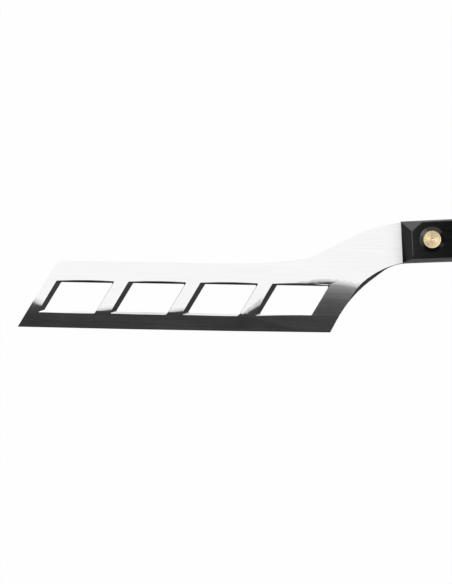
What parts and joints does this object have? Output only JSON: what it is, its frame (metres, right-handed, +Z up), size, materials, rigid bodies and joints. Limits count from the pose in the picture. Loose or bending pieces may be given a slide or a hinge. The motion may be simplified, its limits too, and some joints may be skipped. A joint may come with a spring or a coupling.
{
  "type": "foie gras knife",
  "caption": "Foie gras knife: a straight-edged blade pierced by slanted windows, cranked up to a full tang between riveted black handle scales.",
  "frame": {"origin": "under the middle of the knife's bounding box, on the plane the knife lies on", "axes": "+X along the knife from the blade's tip to the handle's butt, parallel to the cutting edge; +Y from the cutting edge to the spine; +Z up out of the side it lies on"},
  "size_m": [0.3208, 0.0654, 0.017],
  "materials": {
    "blade": "stainless steel, polished bright, with fine lengthwise grinding marks on the bevel",
    "scale": "black moulded plastic, polished by hand after riveting",
    "rivet": "brass, faced flush and turned in fine rings"
  },
  "bodies": {
    "root": {"blade": "blade", "upper_scale": "scale", "lower_scale": "scale", "front_rivet_pin": "rivet", "front_rivet_tube": "rivet", "middle_rivet_pin": "rivet", "middle_rivet_tube": "rivet", "rear_rivet_pin": "rivet", "rear_rivet_tube": "rivet"}
  },
  "joints": []
}
